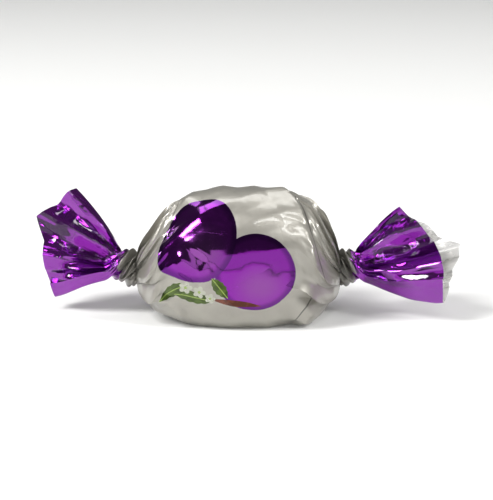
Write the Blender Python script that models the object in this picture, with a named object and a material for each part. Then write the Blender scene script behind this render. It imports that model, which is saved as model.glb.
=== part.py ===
"""A twist-wrapped sweet: one sheet of metallised film round a domed sweet, twisted shut at both ends.

The film is modelled as one closed solid. Its middle is filled by the sweet, each twist is a short
neck, and beyond each neck the film opens into a flattened, pleated fan that is hollow at its mouth.
The long axis is X, the flat base lies on Z = 0 and the origin is the middle of that base.

The surface is a grid. A row is a section across the film at one distance from the middle, and a
column is a line that runs along the film from one cut edge to the other. Angles round a section
start at +Y and turn towards +Z, so a quarter turn is the top and half a turn is the front.
"""

import math
from dataclasses import dataclass

import bmesh
import bpy
import numpy as np

MM = 0.001
QUARTER_TURN = math.pi / 2
HALF_TURN = math.pi
FULL_TURN = 2 * math.pi

# Driving sizes of the wrapped body
BODY_WIDTH = 24.3 * MM
BODY_ABOVE_NECKS = 13.7 * MM
NECK_HEIGHT = 8.3 * MM
BASE_PRESSED_IN = 1.6 * MM
FILM_SLACK = 0.9 * MM

# Driving sizes of the twisted necks and the film
NECK_RADIUS = 2.5 * MM
NECK_STRANDS = 4
STRAND_DEPTH = 0.30
FILM_THICKNESS = 0.35 * MM
LAP_STEP = 0.25 * MM
TUCK_STEP = 0.8 * MM
FOLD_LEAN = 0.25
PLEAT_HEIGHT = 0.7 * MM

# Where one part of the film turns into the next, measured from the neck
TWIST_INSIDE = 2.8 * MM
TWIST_LENGTH = 6.7 * MM
SPIRAL_LENGTH = 12.3 * MM
BEND_INSIDE = 2.6 * MM
BEND_LENGTH = 7.9 * MM
FLATTEN_LENGTH = 4.8 * MM
FAN_TURN_LENGTH = 3.5 * MM
FAN_START = 3.5 * MM

# Crease lines across half of the film. Two gaps are narrow: where the long edges lap, and a deep tuck
CREASE_GAPS = 12
LAP_GAP = 1
TUCK_GAP = 7
NARROW_SHARE = 0.10
SEED = 23

# Rows and columns of the grid
COLUMNS_PER_GAP = 2
FAN_ROWS = 9
NECK_ROWS = 14
BODY_ROWS = 13

FILM_COLOUR = (0.66, 0.65, 0.60, 1.0)
FILM_ROUGHNESS = 0.30
FILM_METALLIC = 0.65


@dataclass(frozen=True)
class End:
    """One end of the wrapped sweet: lengths in metres, angles in degrees."""

    side: int
    neck: float
    sweet_reach: float
    fullness: float
    shoulder_slope: float
    fan_length: float
    spread: float
    twist: float
    spiral: float
    gather: float
    rise: float
    swing: float
    curl: float
    narrowing: float
    flop: float
    flop_from: float
    tuck: float
    roll: float
    rim_tilt: float
    rim_turn: float
    corner_angle: float
    corner_size: float
    seed: int


LEFT = End(
    side=-1,
    neck=20.4 * MM,
    sweet_reach=18.8 * MM,
    fullness=2.3,
    shoulder_slope=1.45,
    fan_length=15.6 * MM,
    spread=38.0,
    twist=175.0,
    spiral=48.0,
    gather=1.15,
    rise=16.0,
    swing=14.0,
    curl=-0.16,
    narrowing=0.12,
    flop=3.5 * MM,
    flop_from=0.15,
    tuck=0.4,
    roll=22.0,
    rim_tilt=0.12,
    rim_turn=200.0,
    corner_angle=245.0,
    corner_size=0.16,
    seed=SEED + 1,
)
RIGHT = End(
    side=1,
    neck=19.4 * MM,
    sweet_reach=18.0 * MM,
    fullness=2.8,
    shoulder_slope=2.0,
    fan_length=17.0 * MM,
    spread=42.0,
    twist=190.0,
    spiral=52.0,
    gather=1.15,
    rise=20.0,
    swing=-6.0,
    curl=0.12,
    narrowing=0.22,
    flop=2.5 * MM,
    flop_from=-0.25,
    tuck=1.0,
    roll=-12.0,
    rim_tilt=0.14,
    rim_turn=20.0,
    corner_angle=75.0,
    corner_size=0.15,
    seed=SEED + 3,
)


def eased(x):
    """0 below 0, 1 above 1, and an S-shaped curve between."""
    x = np.clip(x, 0.0, 1.0)
    return x * x * (3 - 2 * x)


def soft_min(a, b, blend):
    """The smaller of a and b, with the corner between them rounded over the length blend."""
    share = np.clip(0.5 + 0.5 * (b - a) / blend, 0, 1)
    return b + (a - b) * share - blend * share * (1 - share)


def folded_wave(x):
    """A zigzag between -1 and 1 with period 1, like a sheet folded to and fro."""
    return 4 * np.abs(x - np.floor(x + 0.5)) - 1


def crease_positions():
    """Places of the crease lines across half of the film, from one side edge at 1 to the other at -1."""
    chance = np.random.default_rng(SEED)
    gaps = np.clip(chance.lognormal(0.0, 0.6, CREASE_GAPS), 0.35, 2.6)
    gaps[[LAP_GAP, TUCK_GAP]] = NARROW_SHARE
    return 1 - 2 * np.concatenate([[0], np.cumsum(gaps)]) / gaps.sum()


CREASES = crease_positions()
HALF_LOOP = HALF_TURN * (1 - CREASES) / 2
WHOLE_LOOP = np.concatenate([HALF_LOOP, FULL_TURN - HALF_LOOP[-2::-1]])

# Width of the wider gap beside each crease line, as a share of the mean gap
CREASE_REACH = np.maximum(np.append(-np.diff(CREASES), 0), np.append(0, -np.diff(CREASES))) * CREASE_GAPS / 2

# 1 where a crease line is a ridge and -1 where it is a valley; both sides of a narrow gap are alike
TURNS = np.where(np.isin(np.arange(CREASE_GAPS), (LAP_GAP, TUCK_GAP)), 0, 1)
HALF_FOLDS = (-1.0) ** np.append(0, np.cumsum(TURNS))
WHOLE_FOLDS = np.concatenate([HALF_FOLDS, HALF_FOLDS[-2::-1]])


def column_angles(per_gap):
    """Angle of every column: each crease line and the columns between, the upper half then the lower."""
    between = np.arange(per_gap) / per_gap
    half = (HALF_LOOP[:-1, None] + np.diff(HALF_LOOP)[:, None] * between).ravel()
    return np.concatenate([half, [HALF_TURN], FULL_TURN - half[:0:-1]])


def across_narrow_gaps(values):
    """The values of one half with the second crease line of each narrow gap made like the first."""
    values[[LAP_GAP + 1, TUCK_GAP + 1]] = values[[LAP_GAP, TUCK_GAP]]
    return values


def crease_values(chance, low, high):
    """A random value for each crease line round the whole loop; the last repeats the first."""
    upper, lower = (across_narrow_gaps(chance.uniform(low, high, len(CREASES))) for _ in range(2))
    lower[[0, -1]] = upper[[0, -1]]
    return np.concatenate([upper, lower[-2::-1]])


def crumple(along, across, seed, size, layers=5):
    """Height of creased film, from -1 to 1: zigzag waves in several directions, each strong in places only."""
    chance = np.random.default_rng(seed)
    height = np.zeros_like(along)
    for _ in range(layers):
        turn, wander = chance.uniform(0, HALF_TURN, 2)
        shift, phase = chance.uniform(0, 1), chance.uniform(0, FULL_TURN)
        per_length = 1 / (size * chance.uniform(0.7, 1.6))
        wave = (along * math.cos(turn) + across * math.sin(turn)) * per_length + shift
        cross = (along * math.cos(wander) + across * math.sin(wander)) * per_length
        wave = wave + 0.3 * np.sin(1.7 * cross + phase)
        strength = 0.5 + 0.5 * np.sin(0.9 * cross + 2 * phase)
        height += folded_wave(wave) * strength * chance.uniform(0.5, 1.0)
    return height / layers


def centre_line(end, out):
    """Centre and the three axes of each section. The line is straight, then bends at the neck."""
    samples = np.linspace(-50.0 * MM, 35.0 * MM, 1701)
    bent = eased((samples + BEND_INSIDE) / BEND_LENGTH)
    rise, swing = np.radians(end.rise) * bent, np.radians(end.swing) * bent
    heading = np.stack([np.cos(rise) * np.cos(swing), np.cos(rise) * np.sin(swing), np.sin(rise)], -1)
    line = np.cumsum(heading, 0) * (samples[1] - samples[0])
    straight = samples < -BEND_INSIDE
    line += np.array([end.neck + samples[straight][-1], 0, NECK_HEIGHT]) - line[straight][-1]
    centre = np.stack([np.interp(out, samples, line[:, k]) for k in range(3)], -1)
    rise, swing = np.interp(out, samples, rise), np.interp(out, samples, swing)
    outwards = np.stack([np.cos(rise) * np.cos(swing), np.cos(rise) * np.sin(swing), np.sin(rise)], -1)
    sideways = np.stack([-np.sin(swing), np.cos(swing), 0 * swing], -1)
    return centre, outwards, sideways, np.cross(outwards, sideways)


def neck_strands(angle, out):
    """Share by which the twisted strands of the neck swell and shrink a section."""
    strand = np.abs(np.cos(NECK_STRANDS / 2 * angle + 0.4)) ** 0.8 - 0.5
    return 1 + 2 * STRAND_DEPTH * strand * (1 - eased(np.abs(out) / (4.4 * MM)))


def gathers(end, angle, out):
    """Height of the creases that the twist draws in the film, deepest on the shoulder."""
    chance = np.random.default_rng(end.seed)
    size = WHOLE_FOLDS * crease_values(chance, 0.35 * MM, 1.4 * MM)
    reach = crease_values(chance, 6.2 * MM, 16.7 * MM)
    inside = np.maximum(-out, 0)
    size = np.interp(angle, WHOLE_LOOP, size)
    reach = np.interp(angle, WHOLE_LOOP, reach)
    rise = 0.45 + 0.75 * eased(inside / (4.4 * MM))
    fall = 1 - eased((inside - 3.1 * MM) / (reach - 3.1 * MM))
    return end.gather * size * rise * fall


def step_past(angle, edge, fade):
    """1 at the edge, falling to 0 over the angle fade, and 0 before the edge."""
    return (1 - np.clip((angle - edge) / fade, 0, 1)) * (angle >= edge - 1e-6)


def laps(end, angle, out):
    """Height of the film's free long edge on the film below, and of the tuck that runs up a shoulder."""
    inside = np.maximum(-out, 0)
    edge = step_past(angle, FULL_TURN - HALF_LOOP[LAP_GAP], 0.16 * FULL_TURN)
    edge = edge * LAP_STEP * eased((inside - 1.8 * MM) / (5.3 * MM))
    tuck = step_past(-angle, -HALF_LOOP[TUCK_GAP], 0.09 * FULL_TURN)
    tuck = tuck * end.tuck * TUCK_STEP * (1 - eased((inside - 2.6 * MM) / (9.7 * MM)))
    return edge + tuck * eased(inside / (1.8 * MM))


def body_rows(end, out, angle):
    """Points of the film over the sweet, its shoulder and the inner half of the neck."""
    inside = np.maximum(-out, 0)
    from_middle = np.clip((end.neck + out) / end.sweet_reach, 0, 1)
    sweet = np.sqrt(1 - from_middle**end.fullness)
    cone = np.hypot(NECK_RADIUS, 1.9 * inside)
    top_cone = np.hypot(NECK_RADIUS, end.shoulder_slope * inside)
    blend = 2.6 * MM
    half_width = soft_min(BODY_WIDTH / 2 * sweet + FILM_SLACK, cone, blend)
    top = soft_min(BODY_ABOVE_NECKS * sweet + FILM_SLACK, top_cone, blend)
    bottom = soft_min((NECK_HEIGHT + BASE_PRESSED_IN) * sweet + FILM_SLACK, cone, blend)
    at_neck = eased(1 - inside / (2.6 * MM))
    half_width, top, bottom = (size * (1 - at_neck) + cone * at_neck for size in (half_width, top, bottom))

    turned = angle + film_turn(end, out)
    gathered = gathers(end, angle, out) * (1 - 0.6 * eased(-np.sin(turned)) * (1 - at_neck))
    turned = turned + FOLD_LEAN * gathered / np.maximum(half_width, 4.4 * MM)
    across, up = np.cos(turned), np.sin(turned)
    height = np.where(up >= 0, top, bottom)
    power = 2 + np.where(up >= 0, 0.25, 0.7) * eased(inside / (5.3 * MM))
    radius = (np.abs(across / half_width) ** power + np.abs(up / height) ** power) ** (-1 / power)
    radius += gathered * np.minimum(radius / (4.4 * MM), 1)
    radius *= neck_strands(angle, out)
    radius += laps(end, angle, out)
    station = end.side * (end.neck + out)
    arc = angle * BODY_WIDTH / 2
    radius += 0.5 * MM * crumple(station, arc, SEED + 9, 14.0 * MM) * eased(inside / (3.5 * MM))

    centre, _, sideways, upwards = centre_line(end, out)
    points = centre + (radius * across)[..., None] * sideways + (radius * up)[..., None] * upwards
    points[..., 2] = np.maximum(points[..., 2], 0.0)
    return points


def film_turn(end, out):
    """Angle by which the film has turned: a slow spiral over the shoulder, then the twist of the neck."""
    twist = end.twist * eased((out + TWIST_INSIDE) / TWIST_LENGTH)
    spiral = end.spiral * eased((out + SPIRAL_LENGTH) / SPIRAL_LENGTH) ** 2
    return np.radians(twist + spiral + end.roll * eased(out / end.fan_length))


def rim_share(end, angle):
    """Length of the film beyond the neck along each column, as a share of the fan's length."""
    tilt = end.rim_tilt * np.cos(angle - np.radians(end.rim_turn))
    away = np.abs((angle - np.radians(end.corner_angle) + HALF_TURN) % FULL_TURN - HALF_TURN)
    corner = end.corner_size * np.clip(1 - away / 0.5, 0, 1)
    return 1 + tilt + corner


def pleats(end, across, out):
    """Height of the fan's pleats: each crease line rises and falls on its way to the rim."""
    chance = np.random.default_rng(end.seed + 40)
    heights = [
        across_narrow_gaps(HALF_FOLDS * chance.uniform(low, high, len(CREASES)) * CREASE_REACH)
        for low, high in ((0.5, 1.2), (-0.2, 1.4), (-0.7, 1.4))
    ]
    near, middle, rim = (np.interp(-across, -CREASES, height) for height in heights)
    to_middle = eased((out - 1.8 * MM) / (6.2 * MM))
    to_rim = eased((out - 7.0 * MM) / (7.0 * MM))
    height = near * (1 - to_middle) + middle * to_middle * (1 - to_rim) + rim * to_rim
    return PLEAT_HEIGHT * height * eased(out / (5.3 * MM))


def drawn_in(across, share):
    """Places across the fan with its side edges moved in by a share; only the outermost pleats narrow."""
    edge = np.where(across > 0, CREASES[1], -CREASES[-2])
    past_edge = np.maximum(np.abs(across) - edge, 0) / (1 - edge)
    return across - np.sign(across) * past_edge * share


def fan_rows(end, out, inset, angle):
    """Points of the film beyond the neck: a flattened loop whose columns spread like a hand fan."""
    out = out * (1 + (rim_share(end, angle) - 1) * eased(out / end.fan_length))
    flat = eased(out / FLATTEN_LENGTH)
    across = np.where(angle <= HALF_TURN, 1 - 2 * angle / HALF_TURN, 2 * angle / HALF_TURN - 3)
    layer = np.where(angle <= HALF_TURN, 1.0, -1.0)
    lens = np.clip(1 - np.abs(across) ** 2.2, 0, 1) ** 0.6
    loop_up = (1 - flat) * np.abs(np.sin(angle)) + flat * lens

    turn = np.clip(out / FAN_TURN_LENGTH, 0, 1)
    run = np.where(
        out < FAN_TURN_LENGTH, FAN_TURN_LENGTH * (turn**3 - turn**4 / 2), out - FAN_TURN_LENGTH / 2
    )
    spread = np.radians(end.spread)
    across = drawn_in(across, inset / (NECK_RADIUS + np.sin(spread) * run))
    loop_across = (1 - flat) * np.cos(angle) + flat * across
    heading = spread * across
    chance = np.random.default_rng(end.seed + 80)
    opening = crease_values(chance, -0.45, 0.45)
    opening[[1, -2]] = opening[0]
    opening[len(CREASES) - 2 : len(CREASES) + 1] = opening[len(CREASES) - 1]
    opening = 1 + flat * np.interp(angle, WHOLE_LOOP, opening)
    gap = NECK_RADIUS + (1.0 * MM - NECK_RADIUS) * eased(out / (5.3 * MM))
    gap = gap + 1.3 * MM * eased((out - 6.2 * MM) / (7.9 * MM))
    width = NECK_RADIUS * loop_across
    depth = layer * (gap * opening - inset) * loop_up

    strands = 1 + (neck_strands(angle, out) - 1) * (1 - flat)
    ridge = gathers(end, angle, 0 * out) * (1 - flat) * NECK_RADIUS / (4.4 * MM)
    kept = 1 - end.narrowing * (out / end.fan_length) ** 2
    width = (width + ridge * np.cos(angle)) * strands + np.sin(heading) * run * kept
    depth = (depth + ridge * np.sin(angle)) * strands
    depth = depth + pleats(end, across, out) + end.curl * out * (across**2 - 0.3)
    flopped = np.maximum((across - end.flop_from) * np.sign(end.flop_from), 0) ** 1.5
    depth = depth + end.flop * flopped * eased((out - 2.6 * MM) / (12.3 * MM))
    creased = crumple(out, across * 19.4 * MM, end.seed + 5, 7.0 * MM)
    depth = depth + 1.2 * MM * creased * eased(out / (4.4 * MM))

    turned = film_turn(end, out)[..., None]
    centre, outwards, sideways, upwards = centre_line(end, out)
    wide = np.cos(turned) * sideways + np.sin(turned) * upwards
    thin = np.cos(turned) * upwards - np.sin(turned) * sideways
    drawn_back = (1 - np.cos(heading)) * run
    return centre + width[..., None] * wide + depth[..., None] * thin - drawn_back[..., None] * outwards


def end_rows(end, out, inset, angle):
    """Points of one half of the film. out and inset have one value for each row, angle one for each column."""
    angle = angle[None, :] + 0 * out[:, None]
    out = out[:, None] + 0 * angle
    inset = inset[:, None] + 0 * angle
    body = body_rows(end, np.minimum(out, 0), angle)
    fan = fan_rows(end, np.maximum(out, 0), inset, angle)
    points = np.where((out > 0)[..., None], fan, body)
    points[..., 0] *= end.side
    return points


def row_distances(end):
    """Distance beyond the neck and inset of each row, from the sweet's middle out to the rim and back in."""
    body = np.linspace(-end.neck, -4.4 * MM, BODY_ROWS, endpoint=False)
    neck = np.linspace(-4.4 * MM, FAN_START, NECK_ROWS, endpoint=False)
    fan = np.linspace(FAN_START, end.fan_length, FAN_ROWS)
    inner = fan[:1:-1]
    out = np.concatenate([body, neck, fan, inner])
    inset = np.where(np.arange(len(out)) < len(out) - len(inner), 0.0, FILM_THICKNESS)
    return out, inset


def film_grid():
    """The whole film as rows of points, from the bottom of the left mouth to the bottom of the right one."""
    angle = column_angles(COLUMNS_PER_GAP)
    left = end_rows(LEFT, *row_distances(LEFT), angle)
    right = end_rows(RIGHT, *row_distances(RIGHT), angle)
    return np.concatenate([left[:0:-1], right])


def close_mouth(mesh, ring, outward):
    """Closes the bottom of a fan's mouth with faces from each column to the one facing it."""
    count = len(ring)
    for k in range(count // 2):
        corners = [ring[k], ring[k + 1], ring[(count - k - 1) % count], ring[(count - k) % count]]
        corners = list(dict.fromkeys(corners))
        mesh.faces.new(corners if outward else corners[::-1])


def build_wrapper():
    """The film as one closed solid, each row of points joined to the next."""
    grid = film_grid()
    mesh = bmesh.new()
    rings = [[mesh.verts.new(point) for point in row] for row in grid.tolist()]
    for ring, following in zip(rings, rings[1:]):
        for k in range(len(ring)):
            after = (k + 1) % len(ring)
            mesh.faces.new((ring[k], ring[after], following[after], following[k]))
    close_mouth(mesh, rings[0], False)
    close_mouth(mesh, rings[-1], True)
    data = bpy.data.meshes.new("wrapper")
    mesh.to_mesh(data)
    mesh.free()
    wrapper = bpy.data.objects.new("wrapper", data)
    bpy.context.scene.collection.objects.link(wrapper)
    return wrapper


def film_material():
    """Pearl-white metallised film."""
    material = bpy.data.materials.new("pearl_film")
    material.use_nodes = True
    shader = material.node_tree.nodes["Principled BSDF"]
    shader.inputs["Base Color"].default_value = FILM_COLOUR
    shader.inputs["Roughness"].default_value = FILM_ROUGHNESS
    shader.inputs["Metallic"].default_value = FILM_METALLIC
    return material


def main():
    for old in list(bpy.data.objects):
        bpy.data.objects.remove(old)
    wrapper = build_wrapper()
    wrapper.data.materials.append(film_material())


main()
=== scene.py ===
"""Looks of a twist-wrapped sweet, laid out as a Blender add-on and run as a script.

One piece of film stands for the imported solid: pearl white over the sweet, mirror purple at both
twisted ends and along the back, and silver inside the fans. The print is plain ovals and leaves.
The film's surface is a grid: a row is a section across the film at one distance from the middle,
and a column is a line that runs along the film from one cut edge to the other. Angles round a
section start at +Y and turn towards +Z, so a quarter turn is the top and half a turn is the front.
"""

import math
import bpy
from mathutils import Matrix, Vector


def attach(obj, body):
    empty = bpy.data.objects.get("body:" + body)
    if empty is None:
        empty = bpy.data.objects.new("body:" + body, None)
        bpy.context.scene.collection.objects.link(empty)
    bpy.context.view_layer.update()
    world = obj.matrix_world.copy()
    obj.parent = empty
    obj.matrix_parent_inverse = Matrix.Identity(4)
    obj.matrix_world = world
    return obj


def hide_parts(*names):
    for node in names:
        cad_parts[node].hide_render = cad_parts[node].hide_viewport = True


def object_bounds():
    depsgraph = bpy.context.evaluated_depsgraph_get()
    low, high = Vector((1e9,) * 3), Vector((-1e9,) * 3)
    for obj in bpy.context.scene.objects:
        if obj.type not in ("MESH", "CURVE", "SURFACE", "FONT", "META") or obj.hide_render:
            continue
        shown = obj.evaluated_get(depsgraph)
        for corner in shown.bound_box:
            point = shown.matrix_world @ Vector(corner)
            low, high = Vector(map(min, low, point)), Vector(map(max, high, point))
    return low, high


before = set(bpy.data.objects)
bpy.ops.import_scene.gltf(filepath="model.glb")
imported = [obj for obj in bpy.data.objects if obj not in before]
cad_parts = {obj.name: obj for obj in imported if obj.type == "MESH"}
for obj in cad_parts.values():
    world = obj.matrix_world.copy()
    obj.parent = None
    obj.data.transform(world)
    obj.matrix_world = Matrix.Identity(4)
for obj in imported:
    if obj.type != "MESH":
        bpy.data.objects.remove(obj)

from types import SimpleNamespace

import bpy
import numpy as np
from mathutils import Vector

CAD_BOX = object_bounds()
NODE = "wrapper"

bl_info = {
    "name": "Twist-Wrapped Sweet",
    "version": (1, 0, 0),
    "blender": (4, 5, 0),
    "location": "3D View > Sidebar > Sweet",
    "description": "A sweet in twisted metallised film, with a pale floor and soft studio light",
    "category": "Add Mesh",
}

MM = 0.001
HALF_TURN = math.pi
FULL_TURN = 2 * math.pi
SEED = 23
ORIGIN = (0, 0, 0)

# Driving sizes of the wrapped body: lengths, the slope of its shoulders' flanks and the rounding between
BODY_WIDTH = 24.3 * MM
BODY_ABOVE_NECKS = 13.7 * MM
NECK_HEIGHT = 8.3 * MM
BASE_PRESSED_IN = 1.6 * MM
FILM_SLACK = 0.9 * MM
FLANK_SLOPE = 1.9
CORNER_BLEND = 2.6 * MM

# What is added to an ellipse's power of 2 above and below the necks' level, in full at a distance inside
UPPER_SQUARENESS = 0.25
LOWER_SQUARENESS = 0.7
SQUARE_FROM = 5.3 * MM

# Driving sizes of the twisted necks
NECK_RADIUS = 2.5 * MM
NECK_REACH = 4.4 * MM
NECK_STRANDS = 4
STRAND_DEPTH = 0.30
STRAND_PHASE = 0.4
STRAND_POWER = 0.8
LUMP_DEPTH = 0.09

# Small lumps on the necks: number round the neck, length along it and phase
NECK_LUMPS = ((3, 0.9 * MM, 0.0), (5, -0.6 * MM, 1.0))

# Where one part of the film turns into the next, measured from the neck
TWIST_INSIDE = 2.8 * MM
TWIST_LENGTH = 6.7 * MM
SPIRAL_LENGTH = 12.3 * MM
BEND_INSIDE = 2.6 * MM
BEND_LENGTH = 7.9 * MM
FLATTEN_LENGTH = 4.8 * MM
FAN_TURN_LENGTH = 3.5 * MM
FAN_START = 3.5 * MM

# The stretch over which the bent line through an end is worked out, and the number of its points
LINE_FROM = -50.0 * MM
LINE_TO = 35.0 * MM
LINE_POINTS = 1701

# Crease lines across half of the film: the gaps between them, how much they differ and their limits.
# Two gaps are narrow: where the long edges lap, and a deep tuck
CREASE_GAPS = 12
GAP_SPREAD = 0.6
GAP_LIMITS = (0.35, 2.6)
LAP_GAP = 1
TUCK_GAP = 7
NARROW_SHARE = 0.10

# Creases that the twist draws in the film, and the fine ones between them: lowest and highest, how far
# they reach over the sweet, and how far they stay full
GATHER_HEIGHTS = (0.35 * MM, 1.4 * MM)
GATHER_REACHES = (6.2 * MM, 16.7 * MM)
GATHER_FULL = 3.1 * MM
FINE_CREASE_HEIGHT = 0.26 * MM
FINE_CREASE_REACHES = (4.5 * MM, 14.0 * MM)
FINE_CREASE_FULL = 2.0 * MM
FINE_CREASE_COUNTS = (17, 29, 43)
FOLD_LEAN = 0.25

# The film's free long edge: its height, the angle over which it fades, where it begins and its rise
LAP_STEP = 0.25 * MM
LAP_FADE = 0.16 * FULL_TURN
LAP_FROM = 1.8 * MM
LAP_RISE = 5.3 * MM

# The tuck up a shoulder: its height and groove, the angle over which it fades, and how far inside the
# neck it is full and ends
TUCK_STEP = 0.8 * MM
TUCK_GROOVE = 0.45 * MM
TUCK_FADE = 0.09 * FULL_TURN
TUCK_FULL = 2.6 * MM
TUCK_REACH = 12.3 * MM

# Long folds in the film over the sweet, in millimetres along and round the film:
# where each starts and ends, its height, and the width of its gentle side. Their steep sides' width
# and their bow and fade, as shares of the length, are the same for all
FOLDS = (
    ((14.6, 38.0), (5.8, 17.0), 0.95, 4.0),
    ((17.0, 40.0), (9.0, 52.0), 0.70, 3.0),
    ((-17.4, 35.0), (-12.0, 19.0), 0.70, 2.8),
    ((-9.5, 48.5), (-17.2, 40.0), 0.80, 2.6),
    ((-13.0, 34.0), (-16.4, 42.0), 0.50, 2.0),
    ((10.0, 64.0), (16.8, 76.0), 0.50, 3.0),
    ((-16.6, 2.0), (-9.0, 11.0), 0.50, 3.0),
)
FOLD_STEP = 1.3 * MM
FOLD_BOW = 0.05
FOLD_FADE = 0.2

# Small crumpled patches, in millimetres along and round the film: middle, reach and height. Then the
# seed, size and layers of their crumple
PATCHES = (
    ((-9.0, 37.5), 5.5, 2.1),
    ((-14.5, 42.0), 4.5, 1.1),
    ((14.0, 46.5), 5.0, 1.2),
    ((-12.5, 22.0), 4.5, 1.2),
    ((12.0, 68.0), 5.0, 1.8),
)
PATCH_CRUMPLE = (SEED + 14, 2.6 * MM, 3)

# Crumple of the whole body and of its shoulders: height, size of a crease, layers and seed. A share of
# the shoulders' crumple stays over the sweet
BODY_CRUMPLES = ((0.5 * MM, 14.0 * MM, 5, SEED + 9), (0.8 * MM, 9.0 * MM, 3, SEED + 12))
SHOULDER_CRUMPLE = (1.1 * MM, 5.0 * MM, 3, SEED + 13)
SHOULDER_FULL = 2.0 * MM
SHOULDER_REACH = 11.0 * MM
SHARE_OVER_SWEET = 0.15

# Distances inside the neck over which the coarse and the fine relief of the body rise
COARSE_RISE = 3.5 * MM
FINE_RISE = 3.0 * MM

# Pleats of the fans: height, rounding of their folds, the lowest and highest share near the neck, in
# the middle and at the rim, and where the middle and the rim take over
PLEAT_HEIGHT = 0.7 * MM
PLEAT_ROUNDING = 0.5
PLEAT_SHARES = ((0.5, 1.2), (-0.2, 1.4), (-0.7, 1.4))
PLEAT_STAGES = ((1.8 * MM, 8.0 * MM), (7.0 * MM, 14.0 * MM))

# Half the gap between a fan's two sides: past the neck, what the mouth adds and where, and how much it
# differs by column
FAN_HALF_GAP = 1.0 * MM
FAN_CLOSED = 5.3 * MM
MOUTH_MORE = 1.3 * MM
MOUTH_FROM = 6.2 * MM
MOUTH_TO = 14.1 * MM
GAP_CHANGE = 0.45

# The flattened loop's outline across a fan, as the power of a power
LENS_INNER = 2.2
LENS_OUTER = 0.6

# The side of a fan that flops over: where its bend starts and is full, and its power across
FLOP_START = 2.6 * MM
FLOP_FULL = 14.9 * MM
FLOP_POWER = 1.5

# Crumple of the fans: height, size of a crease, what is added to the end's seed, the half width that
# the fan is taken to have, and the share of the length that counts, less for creases along the film
FAN_CRUMPLE = (1.2 * MM, 7.0 * MM, 5, 19.4 * MM, 1.0)
FAN_FINE_CRUMPLE = (0.15 * MM, 3.2 * MM, 6, 15.0 * MM, 0.35)

# Added to an end's seed for the draws of its fine creases, its pleats and its mouth
FINE_CREASE_DRAW = 60
PLEAT_DRAW = 40
MOUTH_DRAW = 80

# Angle round the film over which the corner of its cut edge stands out
CORNER_WIDTH = 0.5

# The flat map of the film: its size, and the film's length round the sweet
MAP_SIZE = 100.0 * MM
FILM_GIRTH = 81.0 * MM
FILM_MAP = "film"

# The print in millimetres along and round the film: centre, half sizes and turn of each shape
OVALS = (
    ((2.6, 38.0, 0.0), (7.1, 6.7, 1.0), 0.1),
    ((-7.6, 31.7, 0.0), (7.0, 8.2, 1.0), -0.15),
)
LEAVES = (
    ((-11.8, 41.4, 0.0), (2.9, 1.5, 1.0), 0.4),
    ((-3.6, 40.6, 0.0), (2.3, 1.2, 1.0), -0.9),
    ((-8.2, 42.7, 0.0), (3.6, 1.3, 1.0), -0.1),
)
STEM = ((-0.8, 43.3, 0.0), (4.6, 0.7, 1.0), -0.14)

# Blossoms of the print in the same measure: centre and reach
BLOSSOMS = (
    ((-9.6, 40.9, 0.0), 1.3),
    ((-7.2, 41.6, 0.0), 1.2),
    ((-5.3, 42.6, 0.0), 1.0),
)

# Share of bare metal that shows through the ink of the leaves and the stem
INK_BARE = 0.45

# Painted shadows in the gaps at the feet of the folds, where the film laps over itself: centre, half sizes
# and turn
FOLD_GAP_SHADOWS = (
    ((12.0, 26.9, 0.0), (10.5, 0.22, 1.0), -1.174),
    ((-12.9, 27.6, 0.0), (7.5, 0.14, 1.0), -1.896),
    ((11.3, 44.9, 0.0), (6.0, 0.14, 1.0), -2.159),
)
# Strength of the painted shadow in those gaps
GAP_SHADOW_STRENGTH = 0.75

# The purple field along the back: half its length, its two edges round the film and its corners' power
BACK_HALF_LENGTH = 17.0
BACK_UPPER = 8.5
BACK_LOWER = -19.0
BACK_CORNER = 5.0

# Wavy edges of the purple at the ends and along the back, in millimetres
ENDS_EDGE = {"level": 1.2, "wave_height": 0.35, "wave_length": 13.0, "softness": 0.12}
BACK_EDGE = {"wave_height": 1.2, "wave_length": 24.0, "softness": 0.12}

# The painted reflection in an oval's lower part, a paler tint: its shift in millimetres, its share of the
# half sizes, softness and strength
PAINTED_REFLECTION_SHIFT = (1.0, 2.4)
PAINTED_REFLECTION_SHARES = (0.9, 0.75)
PAINTED_REFLECTION_SOFTNESS = 0.9
PAINTED_REFLECTION_STRENGTH = 0.30

# What changes with the distance past a neck: from and to in millimetres, and the value at each
# NECK_SHADE is painted shade: the pearl ink darkens in the crowded creases towards each neck
NECK_SHADE = (-4.0, -0.5, 1.0, 0.66)
FACETS_NEAR_NECK = (-7.0, 2.0, 0.0, 1.0)
FINE_FACETS_TO_RIM = (1.0, 6.0, 0.5, 0.05)

# Size in millimetres of the film's coarse and fine facets, how far their borders wander, and the slope
# of the coarse ones over the sweet
COARSE_FACET = 11.0
FINE_FACET = 3.0
FACET_WANDER = 1.0
SWEET_FACET_TILT = 0.08

# Share of the coat over pearl ink, what bare metal takes from it and what the ends add to it
COAT_OVER_INK = 0.6
COAT_LOST_BARE = 0.3
COAT_AT_ENDS = 0.7

# Share of metal that the ends lose
ENDS_DULL = 0.08

# Corners of the round floor
FLOOR_CORNERS = 96

# Lights: name, azimuth from the front and elevation in degrees, distance, width and height in metres, watts
LIGHTS = (
    ("key_light", -72.0, 48.0, 0.70, 0.17, 0.42, 6.4),
    ("side_light", 72.0, 36.0, 0.70, 0.12, 0.34, 3.0),
    ("upper_strip", 38.0, 64.0, 0.80, 0.46, 0.06, 1.0),
    ("upper_card", 58.0, 52.0, 0.90, 0.60, 0.40, 0.30),
    ("front_card", 4.0, 11.5, 0.60, 1.30, 0.23, 0.95),
    ("back_light", 180.0, 60.0, 1.00, 0.80, 0.36, 3.0),
)

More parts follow.
